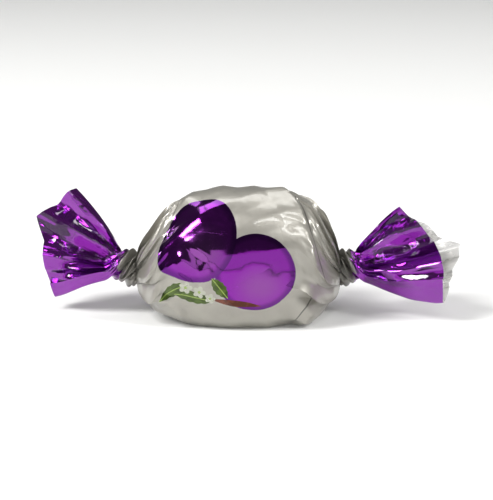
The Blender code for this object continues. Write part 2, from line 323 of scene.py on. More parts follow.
# The left and the right end of the wrapped sweet: lengths in metres, angles in degrees
ENDS = {
    "side": (-1, 1),
    "neck": (20.4 * MM, 19.4 * MM),  # distance from the middle
    "sweet_reach": (18.8 * MM, 18.0 * MM),  # half length of the sweet itself
    "fullness": (2.3, 2.8),  # power of the sweet's curve towards its end
    "shoulder_slope": (1.45, 2.0),  # rise of the upper shoulder for each length inwards
    "fan_length": (15.6 * MM, 17.0 * MM),
    "spread": (38.0, 42.0),  # half the angle to which the fan opens
    "twist": (175.0, 190.0),  # turn of the film in the neck
    "spiral": (48.0, 52.0),  # slow turn of the film over the shoulder
    "gather": (1.15, 1.15),  # strength of the creases that the twist draws
    "rise": (16.0, 20.0),  # bend upwards at the neck
    "swing": (14.0, -6.0),  # bend to the side at the neck
    "curl": (-0.16, 0.12),  # bend across the fan for each length along it
    "narrowing": (0.12, 0.22),  # share of the width that is lost towards the rim
    "flop": (3.5 * MM, 2.5 * MM),  # height of the side that flops over
    "flop_from": (0.15, -0.25),  # place across the fan where that side begins
    "tuck": (0.4, 1.0),  # strength of the tuck
    "roll": (22.0, -12.0),  # turn of the fan along its length
    "rim_tilt": (0.12, 0.14),  # how much longer and shorter the cut edge is on two sides
    "rim_turn": (200.0, 20.0),  # angle of its longer side
    "corner_angle": (245.0, 75.0),  # angle of the film's corner
    "corner_size": (0.16, 0.15),  # how much longer the corner is
    "seed": (SEED + 1, SEED + 3),
}
LEFT, RIGHT = (SimpleNamespace(**{name: pair[k] for name, pair in ENDS.items()}) for k in (0, 1))


def eased(x):
    """0 below 0, 1 above 1, and between them the S-curve of x squared times 3 - 2x."""
    x = np.clip(x, 0.0, 1.0)
    return x * x * (3 - 2 * x)


def soft_min(a, b, blend):
    """The smaller of a and b, with the corner between them rounded over the length blend."""
    share = np.clip(0.5 + 0.5 * (b - a) / blend, 0, 1)
    return b + (a - b) * share - blend * share * (1 - share)


def faded(distance, full, reach):
    """1 as far as the distance full, then falling along an S-curve to 0 at the distance reach."""
    return 1 - eased((distance - full) / (reach - full))


def folded_wave(x):
    """A zigzag between -1 and 1 with period 1, like a sheet folded to and fro."""
    return 4 * np.abs(x - np.floor(x + 0.5)) - 1


def crease_positions():
    """Places of the crease lines across half of the film, from one side edge at 1 to the other at -1."""
    chance = np.random.default_rng(SEED)
    gaps = np.clip(chance.lognormal(0.0, GAP_SPREAD, CREASE_GAPS), *GAP_LIMITS)
    gaps[[LAP_GAP, TUCK_GAP]] = NARROW_SHARE
    return 1 - 2 * np.concatenate([[0], np.cumsum(gaps)]) / gaps.sum()


CREASES = crease_positions()
HALF_LOOP = HALF_TURN * (1 - CREASES) / 2
WHOLE_LOOP = np.concatenate([HALF_LOOP, FULL_TURN - HALF_LOOP[-2::-1]])

# Width of the wider gap beside each crease line, as a share of the mean gap
CREASE_GAP_WIDTHS = -np.diff(CREASES)
CREASE_REACH = np.maximum(np.append(CREASE_GAP_WIDTHS, 0), np.append(0, CREASE_GAP_WIDTHS)) * CREASE_GAPS / 2

# 1 where a crease line is a ridge and -1 where it is a valley; both sides of a narrow gap are alike
TURNS = np.where(np.isin(np.arange(CREASE_GAPS), (LAP_GAP, TUCK_GAP)), 0, 1)
HALF_FOLDS = (-1.0) ** np.append(0, np.cumsum(TURNS))
WHOLE_FOLDS = np.concatenate([HALF_FOLDS, HALF_FOLDS[-2::-1]])


def column_angles(spacing):
    """Angle of each column: every crease line, and evenly spaced columns between them."""
    half = np.concatenate(
        [
            np.linspace(low, high, max(2, round((high - low) / spacing)), endpoint=False)
            for low, high in zip(HALF_LOOP[:-1], HALF_LOOP[1:])
        ]
    )
    return np.concatenate([half, [HALF_TURN], FULL_TURN - half[:0:-1]])


def across_narrow_gaps(values):
    """The values of one half with the second crease line of each narrow gap made like the first."""
    values[[LAP_GAP + 1, TUCK_GAP + 1]] = values[[LAP_GAP, TUCK_GAP]]
    return values


def crease_values(chance, low, high):
    """A random value for each crease line round the whole loop; the last repeats the first."""
    upper, lower = (across_narrow_gaps(chance.uniform(low, high, len(CREASES))) for _ in range(2))
    lower[[0, -1]] = upper[[0, -1]]
    return np.concatenate([upper, lower[-2::-1]])


def crumple(along, across, seed, size, layers=5):
    """Height of creased film, from -1 to 1: zigzags in several directions, each strong in places only."""
    chance = np.random.default_rng(seed)
    height = np.zeros_like(along)
    for _ in range(layers):
        turn, wander = chance.uniform(0, HALF_TURN, 2)
        shift, phase = chance.uniform(0, 1), chance.uniform(0, FULL_TURN)
        per_length = 1 / (size * chance.uniform(0.7, 1.6))
        wave = (along * math.cos(turn) + across * math.sin(turn)) * per_length + shift
        cross = (along * math.cos(wander) + across * math.sin(wander)) * per_length
        wave = wave + 0.3 * np.sin(1.7 * cross + phase)
        strength = 0.5 + 0.5 * np.sin(0.9 * cross + 2 * phase)
        height += folded_wave(wave) * strength * chance.uniform(0.5, 1.0)
    return height / layers


def centre_line(end, out):
    """Centre and the three axes of each section. The line is straight, then bends at the neck.

    Its direction turns upwards and sideways along an S-curve, and the centre is the sum of its steps.
    """

    def direction(rise, swing):
        """Unit vector along +X, turned upwards by one angle and sideways by another."""
        return np.stack([np.cos(rise) * np.cos(swing), np.cos(rise) * np.sin(swing), np.sin(rise)], -1)

    samples = np.linspace(LINE_FROM, LINE_TO, LINE_POINTS)
    bent = eased((samples + BEND_INSIDE) / BEND_LENGTH)
    rise, swing = np.radians(end.rise) * bent, np.radians(end.swing) * bent
    line = np.cumsum(direction(rise, swing), 0) * (samples[1] - samples[0])
    straight = samples < -BEND_INSIDE
    line += np.array([end.neck + samples[straight][-1], 0, NECK_HEIGHT]) - line[straight][-1]
    centre = np.stack([np.interp(out, samples, line[:, k]) for k in range(3)], -1)
    rise, swing = np.interp(out, samples, rise), np.interp(out, samples, swing)
    outwards = direction(rise, swing)
    sideways = np.stack([-np.sin(swing), np.cos(swing), 0 * swing], -1)
    return centre, outwards, sideways, np.cross(outwards, sideways)


def neck_strands(angle, out):
    """Share by which a section of the neck swells and shrinks: even strands, and lumps that wind both ways.

    A strand is the size of a cosine of the angle to a power below 1. A lump is a sine of the angle
    and the distance. Both fade out at the neck's reach.
    """
    strand = np.abs(np.cos(NECK_STRANDS / 2 * angle + STRAND_PHASE)) ** STRAND_POWER - 0.5
    lump = sum(np.sin(count * angle + out / length + phase) for count, length, phase in NECK_LUMPS)
    swell = 2 * STRAND_DEPTH * strand + LUMP_DEPTH * lump
    return 1 + swell * (1 - eased(np.abs(out) / NECK_REACH))


def fine_creases(end, angle, out):
    """Height of the many small creases along the film: three zigzags round it, each strong in places only.

    They are a little lower in the neck than on the shoulder, and fade out over the sweet.
    """
    chance = np.random.default_rng(end.seed + FINE_CREASE_DRAW)
    height = np.zeros_like(angle)
    for count in FINE_CREASE_COUNTS:
        phase, beat = chance.uniform(0, 1), chance.uniform(0, FULL_TURN)
        wave = count * angle / FULL_TURN + 0.4 * np.sin(3 * angle + beat) + phase
        height += folded_wave(wave) * (0.5 + 0.5 * np.sin(5 * angle + 2 * beat))
    inside = np.maximum(-out, 0)
    reach = np.interp(angle, WHOLE_LOOP, crease_values(chance, *FINE_CREASE_REACHES))
    rise = 0.6 + 0.4 * eased(inside / (2 * FINE_CREASE_FULL))
    return FINE_CREASE_HEIGHT * height * rise * faded(inside, FINE_CREASE_FULL, reach)


def gathers(end, angle, out):
    """Height of the creases that the twist draws in the film, deepest on the shoulder.

    Each crease line has a random height and reach, and between two lines both change evenly.
    """
    chance = np.random.default_rng(end.seed)
    size = WHOLE_FOLDS * crease_values(chance, *GATHER_HEIGHTS)
    reach = crease_values(chance, *GATHER_REACHES)
    inside = np.maximum(-out, 0)
    size = np.interp(angle, WHOLE_LOOP, size)
    reach = np.interp(angle, WHOLE_LOOP, reach)
    rise = 0.45 + 0.75 * eased(inside / NECK_REACH)
    height = size * rise * faded(inside, GATHER_FULL, reach)
    return end.gather * height + fine_creases(end, angle, out)


def step_past(angle, edge, fade):
    """1 at the edge, falling to 0 over the angle fade, and 0 before the edge."""
    return (1 - np.clip((angle - edge) / fade, 0, 1)) * (angle >= edge - 1e-6)


def laps(end, angle, out):
    """Height of the film's free long edge on the film below, and of the tuck that runs up a shoulder."""
    inside = np.maximum(-out, 0)
    edge = step_past(angle, FULL_TURN - HALF_LOOP[LAP_GAP], LAP_FADE)
    edge = edge * LAP_STEP * eased((inside - LAP_FROM) / LAP_RISE)
    outer, inner = HALF_LOOP[TUCK_GAP], HALF_LOOP[TUCK_GAP + 1]
    tuck = step_past(-angle, -outer, TUCK_FADE) * TUCK_STEP
    groove = np.clip(1 - np.abs(angle - inner) / (inner - outer), 0, 1)
    tuck = (tuck - TUCK_GROOVE * groove) * end.tuck * faded(inside, TUCK_FULL, TUCK_REACH)
    return edge + tuck * eased(inside / LAP_FROM)


def long_folds(along, around):
    """Height of the long folds: each rises gently on one side of its line and drops steeply on the other.

    The place is split into a share of the fold's length and a distance to one side of its line, which
    is slightly bowed. The fold fades in over the first fifth of its length and out over the last.
    """
    height = np.zeros_like(along)
    for start, stop, rise, width in FOLDS:
        start, stop = np.array(start) * MM, np.array(stop) * MM
        length = np.hypot(*(stop - start))
        run, side = (stop - start) / length
        share = ((along - start[0]) * run + (around - start[1]) * side) / length
        beside = (along - start[0]) * side - (around - start[1]) * run
        beside = beside + FOLD_BOW * length * np.sin(HALF_TURN * share)
        profile = np.where(beside > 0, 1 - beside / (width * MM), 1 + beside / FOLD_STEP)
        ends = eased(share / FOLD_FADE) * eased((1 - share) / FOLD_FADE)
        height += rise * MM * np.maximum(profile, 0) * ends
    return height


def crumpled_patches(along, around):
    """Height of the small crumpled patches: fine crumple that fades out with the distance from a middle."""
    height = np.zeros_like(along)
    fine = crumple(along, around, *PATCH_CRUMPLE)
    for middle, reach, rise in PATCHES:
        distance = np.hypot(along - middle[0] * MM, around - middle[1] * MM)
        height += rise * MM * fine * (1 - eased(distance / (reach * MM)))
    return height


def body_sizes(end, out, inside):
    """Half width of each section, its height above and depth below the necks' level, and its share of neck.

    Each size follows the sweet's rounded curve in the middle and a cone on the shoulder: the smaller
    of both holds. Close to the neck all sections are round.
    """
    from_middle = np.clip((end.neck + out) / end.sweet_reach, 0, 1)
    sweet = np.sqrt(1 - from_middle**end.fullness)
    cone = np.hypot(NECK_RADIUS, FLANK_SLOPE * inside)
    upper_cone = np.hypot(NECK_RADIUS, end.shoulder_slope * inside)
    at_neck = eased(1 - inside / CORNER_BLEND)
    sizes = []
    for size, limit in (
        (BODY_WIDTH / 2, cone),
        (BODY_ABOVE_NECKS, upper_cone),
        (NECK_HEIGHT + BASE_PRESSED_IN, cone),
    ):
        size = soft_min(size * sweet + FILM_SLACK, limit, CORNER_BLEND)
        sizes.append(size * (1 - at_neck) + cone * at_neck)
    return *sizes, at_neck


def body_relief(station, angle, inside):
    """Height of the crumple, the long folds and the crumpled patches of the film over the sweet."""
    arc = angle * BODY_WIDTH / 2
    around = angle * FILM_GIRTH / FULL_TURN
    relief = 0
    for height, size, layers, seed in BODY_CRUMPLES:
        relief = relief + height * crumple(station, arc, seed, size, layers) * eased(inside / COARSE_RISE)
    height, size, layers, seed = SHOULDER_CRUMPLE
    shoulder = faded(inside, SHOULDER_FULL, SHOULDER_REACH)
    shoulder = SHARE_OVER_SWEET + (1 - SHARE_OVER_SWEET) * shoulder
    fine = height * crumple(station, arc, seed, size, layers) * shoulder
    fine = fine + long_folds(station, around) + crumpled_patches(station, around)
    return relief + fine * eased(inside / FINE_RISE)


def body_rows(end, out, angle):
    """Points of the film over the sweet, its shoulder and the inner half of the neck.

    A section is a rounded loop: half width and height, each divided into the place and raised to a
    power, add up to 1. It is turned with the film, and its creases lean to one side.
    """
    inside = np.maximum(-out, 0)
    half_width, top, bottom, at_neck = body_sizes(end, out, inside)
    turned = angle + film_turn(end, out)
    under = eased(-np.sin(turned)) * (1 - at_neck)
    gathered = gathers(end, angle, out) * (1 - 0.6 * under)
    turned = turned + FOLD_LEAN * gathered / np.maximum(half_width, NECK_REACH)
    across, up = np.cos(turned), np.sin(turned)
    height = np.where(up >= 0, top, bottom)
    squareness = np.where(up >= 0, UPPER_SQUARENESS, LOWER_SQUARENESS)
    power = 2 + squareness * eased(inside / SQUARE_FROM)
    radius = (np.abs(across / half_width) ** power + np.abs(up / height) ** power) ** (-1 / power)
    radius += gathered * np.minimum(radius / NECK_REACH, 1)
    radius *= neck_strands(angle, out)
    radius += laps(end, angle, out)
    radius += body_relief(end.side * (end.neck + out), angle, inside)

    centre, _, sideways, upwards = centre_line(end, out)
    points = centre + (radius * across)[..., None] * sideways + (radius * up)[..., None] * upwards
    points[..., 2] = np.maximum(points[..., 2], 0.0)
    return points


def film_turn(end, out):
    """Angle by which the film has turned: a slow spiral over the shoulder, then the twist of the neck."""
    twist = end.twist * eased((out + TWIST_INSIDE) / TWIST_LENGTH)
    spiral = end.spiral * eased((out + SPIRAL_LENGTH) / SPIRAL_LENGTH) ** 2
    return np.radians(twist + spiral + end.roll * eased(out / end.fan_length))


def rim_share(end, angle):
    """Length of the film beyond the neck along each column, as a share of the fan's length."""
    tilt = end.rim_tilt * np.cos(angle - np.radians(end.rim_turn))
    away = np.abs((angle - np.radians(end.corner_angle) + HALF_TURN) % FULL_TURN - HALF_TURN)
    return 1 + tilt + end.corner_size * np.clip(1 - away / CORNER_WIDTH, 0, 1)


def rounded_between(x, places, values):
    """Values between places: a blend of a straight line and an S-curve, so that folds are a little round."""
    k = np.clip(np.searchsorted(places, x, side="right") - 1, 0, len(places) - 2)
    share = (x - places[k]) / (places[k + 1] - places[k])
    share = share + PLEAT_ROUNDING * (eased(share) - share)
    return values[k] + (values[k + 1] - values[k]) * share


def pleats(end, across, out):
    """Height of the fan's pleats: each crease line rises and falls on its way to the rim."""
    chance = np.random.default_rng(end.seed + PLEAT_DRAW)
    heights = [
        across_narrow_gaps(HALF_FOLDS * chance.uniform(low, high, len(CREASES)) * CREASE_REACH)
        for low, high in PLEAT_SHARES
    ]
    near, middle, rim = (rounded_between(-across, -CREASES, height) for height in heights)
    to_middle, to_rim = (eased((out - start) / (stop - start)) for start, stop in PLEAT_STAGES)
    height = near * (1 - to_middle) + middle * to_middle * (1 - to_rim) + rim * to_rim
    return PLEAT_HEIGHT * height * eased(out / FAN_CLOSED)


def drawn_in(across, share):
    """Places across the fan with its side edges moved in by a share; only the outermost pleats narrow."""
    edge = np.where(across > 0, CREASES[1], -CREASES[-2])
    past_edge = np.maximum(np.abs(across) - edge, 0) / (1 - edge)
    return across - np.sign(across) * past_edge * share


def fan_gap(end, angle, out, flat):
    """Half the gap between the fan's sides: it closes past the neck, opens again and differs by column."""
    chance = np.random.default_rng(end.seed + MOUTH_DRAW)
    opening = crease_values(chance, -GAP_CHANGE, GAP_CHANGE)
    side_edge = len(CREASES) - 1
    opening[[1, -2]] = opening[0]
    opening[side_edge - 1 : side_edge + 2] = opening[side_edge]
    gap = NECK_RADIUS + (FAN_HALF_GAP - NECK_RADIUS) * eased(out / FAN_CLOSED)
    gap = gap + MOUTH_MORE * eased((out - MOUTH_FROM) / (MOUTH_TO - MOUTH_FROM))
    return gap * (1 + flat * np.interp(angle, WHOLE_LOOP, opening))


def fan_crumple(end, across, out, sizes):
    """Height of one kind of crumple on a fan, taken over a share of its length and a half width."""
    height, size, draw, half_width, length_share = sizes
    return height * crumple(length_share * out, across * half_width, end.seed + draw, size)


def fan_relief(end, across, out):
    """Height of the pleats, the curl, the flopped side and the crumple of a fan.

    The curl is the square of the place across times the length, and the flop is a power of the
    distance past the place where it begins.
    """
    relief = pleats(end, across, out) + end.curl * out * (across**2 - 0.3)
    flopped = np.maximum((across - end.flop_from) * np.sign(end.flop_from), 0) ** FLOP_POWER
    relief = relief + end.flop * flopped * eased((out - FLOP_START) / (FLOP_FULL - FLOP_START))
    relief = relief + fan_crumple(end, across, out, FAN_CRUMPLE) * eased(out / NECK_REACH)
    fine = fan_crumple(end, across, out, FAN_FINE_CRUMPLE) * eased(out / FINE_RISE)
    return relief + fine * (1 - 0.6 * eased(out / end.fan_length))


def fan_rows(end, out, inset, angle):
    """Points of the film beyond the neck: a flattened loop whose columns spread like a hand fan.

    The round section of the neck is blended into a lens. A column's heading is its place across times
    the spread, and its sideways place is the sine of that heading times the length run.
    """
    out = out * (1 + (rim_share(end, angle) - 1) * eased(out / end.fan_length))
    flat = eased(out / FLATTEN_LENGTH)
    across = np.where(angle <= HALF_TURN, 1 - 2 * angle / HALF_TURN, 2 * angle / HALF_TURN - 3)
    layer = np.where(angle <= HALF_TURN, 1.0, -1.0)
    lens = np.clip(1 - np.abs(across) ** LENS_INNER, 0, 1) ** LENS_OUTER
    loop_up = (1 - flat) * np.abs(np.sin(angle)) + flat * lens

    turn = np.clip(out / FAN_TURN_LENGTH, 0, 1)
    turning = FAN_TURN_LENGTH * (turn**3 - turn**4 / 2)
    run = np.where(out < FAN_TURN_LENGTH, turning, out - FAN_TURN_LENGTH / 2)
    spread = np.radians(end.spread)
    across = drawn_in(across, inset / (NECK_RADIUS + np.sin(spread) * run))
    heading = spread * across

    strands = 1 + (neck_strands(angle, out) - 1) * (1 - flat)
    ridge = gathers(end, angle, 0 * out) * (1 - flat) * NECK_RADIUS / NECK_REACH
    kept = 1 - end.narrowing * (out / end.fan_length) ** 2
    width = NECK_RADIUS * ((1 - flat) * np.cos(angle) + flat * across)
    width = (width + ridge * np.cos(angle)) * strands + np.sin(heading) * run * kept
    depth = layer * (fan_gap(end, angle, out, flat) - inset) * loop_up
    depth = (depth + ridge * np.sin(angle)) * strands + fan_relief(end, across, out)

    turned = film_turn(end, out)[..., None]
    centre, outwards, sideways, upwards = centre_line(end, out)
    wide = np.cos(turned) * sideways + np.sin(turned) * upwards
    thin = np.cos(turned) * upwards - np.sin(turned) * sideways
    drawn_back = (1 - np.cos(heading)) * run
    return centre + width[..., None] * wide + depth[..., None] * thin - drawn_back[..., None] * outwards


def end_rows(end, out, inset, angle):
    """Points of one half of the film, from one out and inset for each row and one angle for each column."""
    angle = angle[None, :] + 0 * out[:, None]
    out = out[:, None] + 0 * angle
    inset = inset[:, None] + 0 * angle
    body = body_rows(end, np.minimum(out, 0), angle)
    fan = fan_rows(end, np.maximum(out, 0), inset, angle)
    points = np.where((out > 0)[..., None], fan, body)
    points[..., 0] *= end.side
    return points


def row_distances(end, settings):
    """Distance beyond the neck and inset of each row, from the middle out to the rim and back in."""
    body = np.linspace(-end.neck, -NECK_REACH, settings.body_rows, endpoint=False)
    neck = np.linspace(-NECK_REACH, FAN_START, settings.neck_rows, endpoint=False)
    fan = np.linspace(FAN_START, end.fan_length, settings.fan_rows)
    inner = fan[:5:-1]
    out = np.concatenate([body, neck, fan, inner])
    inset = np.where(np.arange(len(out)) < len(out) - len(inner), 0.0, settings.film_thickness)
    return out, inset


def film_surface(settings):
    """Points of the fine film and, for each row, its length along the film and whether it is inside a fan.

    The rows run from the bottom of the left mouth, out over the left rim, along the whole sweet and
    back in over the right rim. The length is counted along the film from the sweet's middle, so the
    inner rows go on past the rim as if the film were unrolled.
    """
    angle = column_angles(settings.column_spacing)
    halves = []
    for end in (LEFT, RIGHT):
        out, inset = row_distances(end, settings)
        walked = end.neck + out[0] + np.concatenate([[0], np.cumsum(np.abs(np.diff(out)))])
        halves.append((end_rows(end, out, inset, angle), end.side * walked, inset > 0))
    points, length, inside = (np.concatenate([left[:0:-1], right]) for left, right in zip(*halves))
    return points, length, inside, angle


def film_faces(rows, columns):
    """Quads between neighbouring rows, and faces that close the bottom of each mouth.

    Each quad joins two neighbouring columns of two neighbouring rows. Each closing face joins two
    neighbouring columns to the two that face them across the flattened mouth.
    """
    row, column = np.meshgrid(np.arange(rows - 1), np.arange(columns), indexing="ij")
    here, after = row * columns + column, row * columns + (column + 1) % columns
    quads = np.stack([here, after, after + columns, here + columns], -1).reshape(-1, 4)
    near = np.arange(1, columns // 2 - 1)
    cap = np.stack([near, near + 1, columns - near - 1, columns - near], -1)
    tips = np.array([[0, 1, columns - 1], [columns // 2 - 1, columns // 2, columns // 2 + 1]])
    last = (rows - 1) * columns
    return quads, cap[:, ::-1], tips[:, ::-1], cap + last, tips + last


def new_object(name, points, faces):
    """An object in the scene with a mesh of points and faces."""
    mesh = bpy.data.meshes.new(name)
    mesh.from_pydata(points.tolist(), [], faces)
    made = bpy.data.objects.new(name, mesh)
    bpy.context.scene.collection.objects.link(made)
    return made


def film_object(settings):
    """The film as one closed mesh with a flat map of itself: 0.1 m of film is one unit each way."""
    points, length, inside, angle = film_surface(settings)
    rows, columns = points.shape[:2]
    groups = film_faces(rows, columns)
    quads = groups[0]
    faces = [face for group in groups for face in group.tolist()]
    film = new_object("film", points.reshape(-1, 3), faces)
    mesh = film.data

    # The last column's quads end at a full turn, where the first column begins again at 0
    corners = np.concatenate([group.ravel() for group in groups])
    turn = angle[corners % columns]
    turn[: quads.size].reshape(-1, 4)[columns - 1 :: columns, 1:3] = FULL_TURN
    along = 0.5 + length[corners // columns] / MAP_SIZE
    flat = np.stack([along, turn / FULL_TURN * FILM_GIRTH / MAP_SIZE], -1)
    layer = mesh.uv_layers.new(name=FILM_MAP)
    layer.data.foreach_set("uv", flat.astype(np.float32).ravel())

    quad_inside = (inside[:-1] | inside[1:])[:, None] & np.ones(columns, bool)
    material = np.concatenate([quad_inside.ravel(), np.ones(len(faces) - len(quads), bool)])
    mesh.polygons.foreach_set("material_index", material.astype(np.int32))
    mesh.shade_smooth()
    mesh.set_sharp_from_angle(angle=math.radians(settings.sharp_angle_degrees))
    mesh.update()
    return film


class Nodes:
    """Makes and links the nodes of one shader tree, with the film's own groups at hand."""

    def __init__(self, tree, groups=None):
        self.tree = tree
        self.groups = groups

    def fill(self, node, inputs):
        """Fills a node's inputs: the output of another node is linked, and any other value is written."""
        for name, value in inputs.items():
            if isinstance(value, bpy.types.NodeSocket):
                self.tree.links.new(value, node.inputs[name])
            else:
                node.inputs[name].default_value = value

    def add(self, kind, inputs=None, **settings):
        """The outputs of a new node with its settings and its inputs."""
        made = self.tree.nodes.new(kind)
        for name, value in settings.items():
            setattr(made, name, value)
        self.fill(made, inputs or {})
        return made.outputs

    def group(self, name, **values):
        """The outputs of one of the film's groups, its inputs named as words joined by low lines."""
        inputs = {key.replace("_", " ").title(): value for key, value in values.items()}
        return self.add("ShaderNodeGroup", inputs, node_tree=self.groups[name])

    def math(self, operation, *values):
        """The output of one Math node."""
        return self.add("ShaderNodeMath", dict(enumerate(values)), operation=operation)[0]

    def vector(self, operation, *values):
        """The output of one Vector Math node: a number for a length or a dot product, and else a vector."""
        outputs = self.add("ShaderNodeVectorMath", dict(enumerate(values)), operation=operation)
        return outputs["Value" if operation in ("LENGTH", "DOT_PRODUCT") else "Vector"]

    def scaled(self, value, factor):
        """A vector or a colour times a factor."""
        return self.add("ShaderNodeVectorMath", {0: value, "Scale": factor}, operation="SCALE")[0]

    def ramp(self, value, low, high, start=0.0, end=1.0):
        """A value that goes from start to end along an S-curve while another goes from low to high."""
        inputs = {"Value": value, "From Min": low, "From Max": high, "To Min": start, "To Max": end}
        return self.add("ShaderNodeMapRange", inputs, interpolation_type="SMOOTHSTEP")[0]

    def noise(self, place, scale, detail, output="Fac"):
        """The grey value of a noise texture, or its colour."""
        return self.add("ShaderNodeTexNoise", {"Vector": place, "Scale": scale, "Detail": detail})[output]

    def between(self, share, first, second):
        """The first value where share is 0 and the second where it is 1."""
        return self.add("ShaderNodeMix", {0: share, 2: first, 3: second})[0]

    def blend(self, share, first, second):
        """The first colour where share is 0 and the second where it is 1."""
        return self.add("ShaderNodeMix", {0: share, 6: first, 7: second}, data_type="RGBA")[2]


def darker(colour, share):
    """A colour with its red, green and blue brought down to a share."""
    return [value * share for value in colour[:3]] + [1.0]


def new_group(name, inputs, outputs):
    """The nodes of a new shader group, the values of its named inputs, and the node of its named outputs."""
    tree = bpy.data.node_groups.new(name, "ShaderNodeTree")
    for label, default in inputs.items():
        kind = "NodeSocketFloat" if isinstance(default, float) else "NodeSocketVector"
        socket = tree.interface.new_socket(name=label, in_out="INPUT", socket_type=kind)
        socket.default_value = default
    for label in outputs:
        tree.interface.new_socket(name=label, in_out="OUTPUT", socket_type="NodeSocketFloat")
    return Nodes(tree), tree.nodes.new("NodeGroupInput").outputs, tree.nodes.new("NodeGroupOutput")


def own_place(nodes, given):
    """The place in a shape's own measure: moved to its centre, turned and divided by its half sizes."""
    moved = nodes.vector("SUBTRACT", given["Vector"], given["Centre"])
    inputs = {"Vector": moved, "Angle": given["Turn"]}
    turned = nodes.add("ShaderNodeVectorRotate", inputs, rotation_type="Z_AXIS")[0]
    return nodes.vector("DIVIDE", turned, given["Half Size"])


def oval_group():
    """Group: an oval field of the print.

    The length of the place in the oval's own measure is 1 on its edge: Mask is 1 inside it, and
    Centre Share falls from 1 in the middle to 0 on the edge.
    """
    nodes, given, result = new_group(
        "Oval Field",
        {"Vector": ORIGIN, "Centre": ORIGIN, "Half Size": (5, 5, 1), "Turn": 0.0, "Softness": 0.02},
        ("Mask", "Centre Share"),
    )
    reach = nodes.vector("LENGTH", own_place(nodes, given))
    mask = nodes.ramp(reach, nodes.math("SUBTRACT", 1.0, given["Softness"]), 1.0, 1.0, 0.0)
    nodes.fill(result, {"Mask": mask, "Centre Share": nodes.ramp(reach, 0.0, 1.0, 1.0, 0.0)})
    return nodes.tree


def leaf_group():
    """Group: a leaf of the print, pointed at both ends, with a toothed edge and a pale vein.

    In the leaf's own measure x runs from -1 to 1 along it. Its half width there is 1 - x squared,
    a little less between two teeth.
    """
    nodes, given, result = new_group(
        "Leaf Field",
        {"Vector": ORIGIN, "Centre": ORIGIN, "Half Size": (3, 1, 1), "Turn": 0.0, "Teeth": 5.0},
        ("Mask", "Vein"),
    )
    x, y, _ = nodes.add("ShaderNodeSeparateXYZ", {0: own_place(nodes, given)})
    away = nodes.math("ABSOLUTE", y)
    tooth = nodes.math("PINGPONG", nodes.math("MULTIPLY", x, given["Teeth"]), 1.0)
    full = nodes.math("SUBTRACT", 1.0, nodes.math("MULTIPLY", x, x))
    half_width = nodes.math("MULTIPLY", full, nodes.math("MULTIPLY_ADD", tooth, 0.16, 0.84))
    mask = nodes.ramp(nodes.math("SUBTRACT", half_width, away), 0.0, 0.06)
    nodes.fill(result, {"Mask": mask, "Vein": nodes.ramp(away, 0.03, 0.10, 1.0, 0.0)})
    return nodes.tree


def blossom_group():
    """Group: a small blossom of the print with five round petals.

    Its edge lies at 0.62 of its reach between two petals and at its full reach on a petal, as
    0.62 + 0.38 times the size of the cosine of 2.5 times the angle. Heart is the mask of its middle.
    """
    nodes, given, result = new_group(
        "Blossom Field", {"Vector": ORIGIN, "Centre": ORIGIN, "Reach": 1.2}, ("Mask", "Heart")
    )
    moved = nodes.vector("SUBTRACT", given["Vector"], given["Centre"])
    x, y, _ = nodes.add("ShaderNodeSeparateXYZ", {0: moved})
    turn = nodes.math("MULTIPLY", nodes.math("ARCTAN2", y, x), 2.5)
    petal = nodes.math("ABSOLUTE", nodes.math("COSINE", turn))
    edge = nodes.math("MULTIPLY", nodes.math("MULTIPLY_ADD", petal, 0.38, 0.62), given["Reach"])
    share = nodes.math("DIVIDE", nodes.vector("LENGTH", moved), edge)
    mask, heart = (nodes.ramp(share, *limits, 1.0, 0.0) for limits in ((0.92, 1.0), (0.18, 0.30)))
    nodes.fill(result, {"Mask": mask, "Heart": heart})
    return nodes.tree


def wavy_edge_group():
    """Group: a field of colour that begins at a wavy edge.

    The edge lies at Level, moved by two sine waves of the place along it, the second 2.3 times as
    fine and half as high. Mask is 0 before the edge and 1 past it.
    """
    nodes, given, result = new_group(
        "Wavy Edge",
        {"Value": 0.0, "Along": 0.0, "Level": 0.0, "Wave Height": 1.0, "Wave Length": 10.0, "Softness": 0.1},
        ("Mask",),
    )
    waves = nodes.math("DIVIDE", given["Along"], given["Wave Length"])
    phase = nodes.math("MULTIPLY", waves, FULL_TURN)
    fine = nodes.math("SINE", nodes.math("MULTIPLY_ADD", phase, 2.3, 1.0))
    wave = nodes.math("MULTIPLY_ADD", fine, 0.5, nodes.math("SINE", phase))
    edge = nodes.math("MULTIPLY_ADD", wave, given["Wave Height"], given["Level"])
    past = nodes.math("DIVIDE", nodes.math("SUBTRACT", given["Value"], edge), given["Softness"])
    nodes.fill(result, {"Mask": nodes.ramp(past, -0.5, 0.5)})
    return nodes.tree


def facet_group():
    """Group: the flat facets that creased film breaks into.

    The film is divided into cells round scattered points. Each cell is a plane with a tilt of its
    own: its height is the place within the cell times a random slope.
    """
    nodes, given, result = new_group(
        "Film Facets", {"Vector": ORIGIN, "Facet Size": 2.0, "Wander": 0.5}, ("Height",)
    )
    middle = (0.5, 0.5, 0.5)
    shift = nodes.vector("SUBTRACT", nodes.noise(given["Vector"], 0.35, 1.0, "Color"), middle)
    place = nodes.vector("ADD", given["Vector"], nodes.scaled(shift, given["Wander"]))
    inputs = {"Vector": place, "Scale": nodes.math("DIVIDE", 1.0, given["Facet Size"])}
    cell = nodes.add("ShaderNodeTexVoronoi", inputs, voronoi_dimensions="2D")
    inside = nodes.vector("SUBTRACT", place, cell["Position"])
    slope = nodes.vector("SUBTRACT", cell["Color"], middle)
    nodes.fill(result, {"Height": nodes.vector("DOT_PRODUCT", inside, slope)})
    return nodes.tree


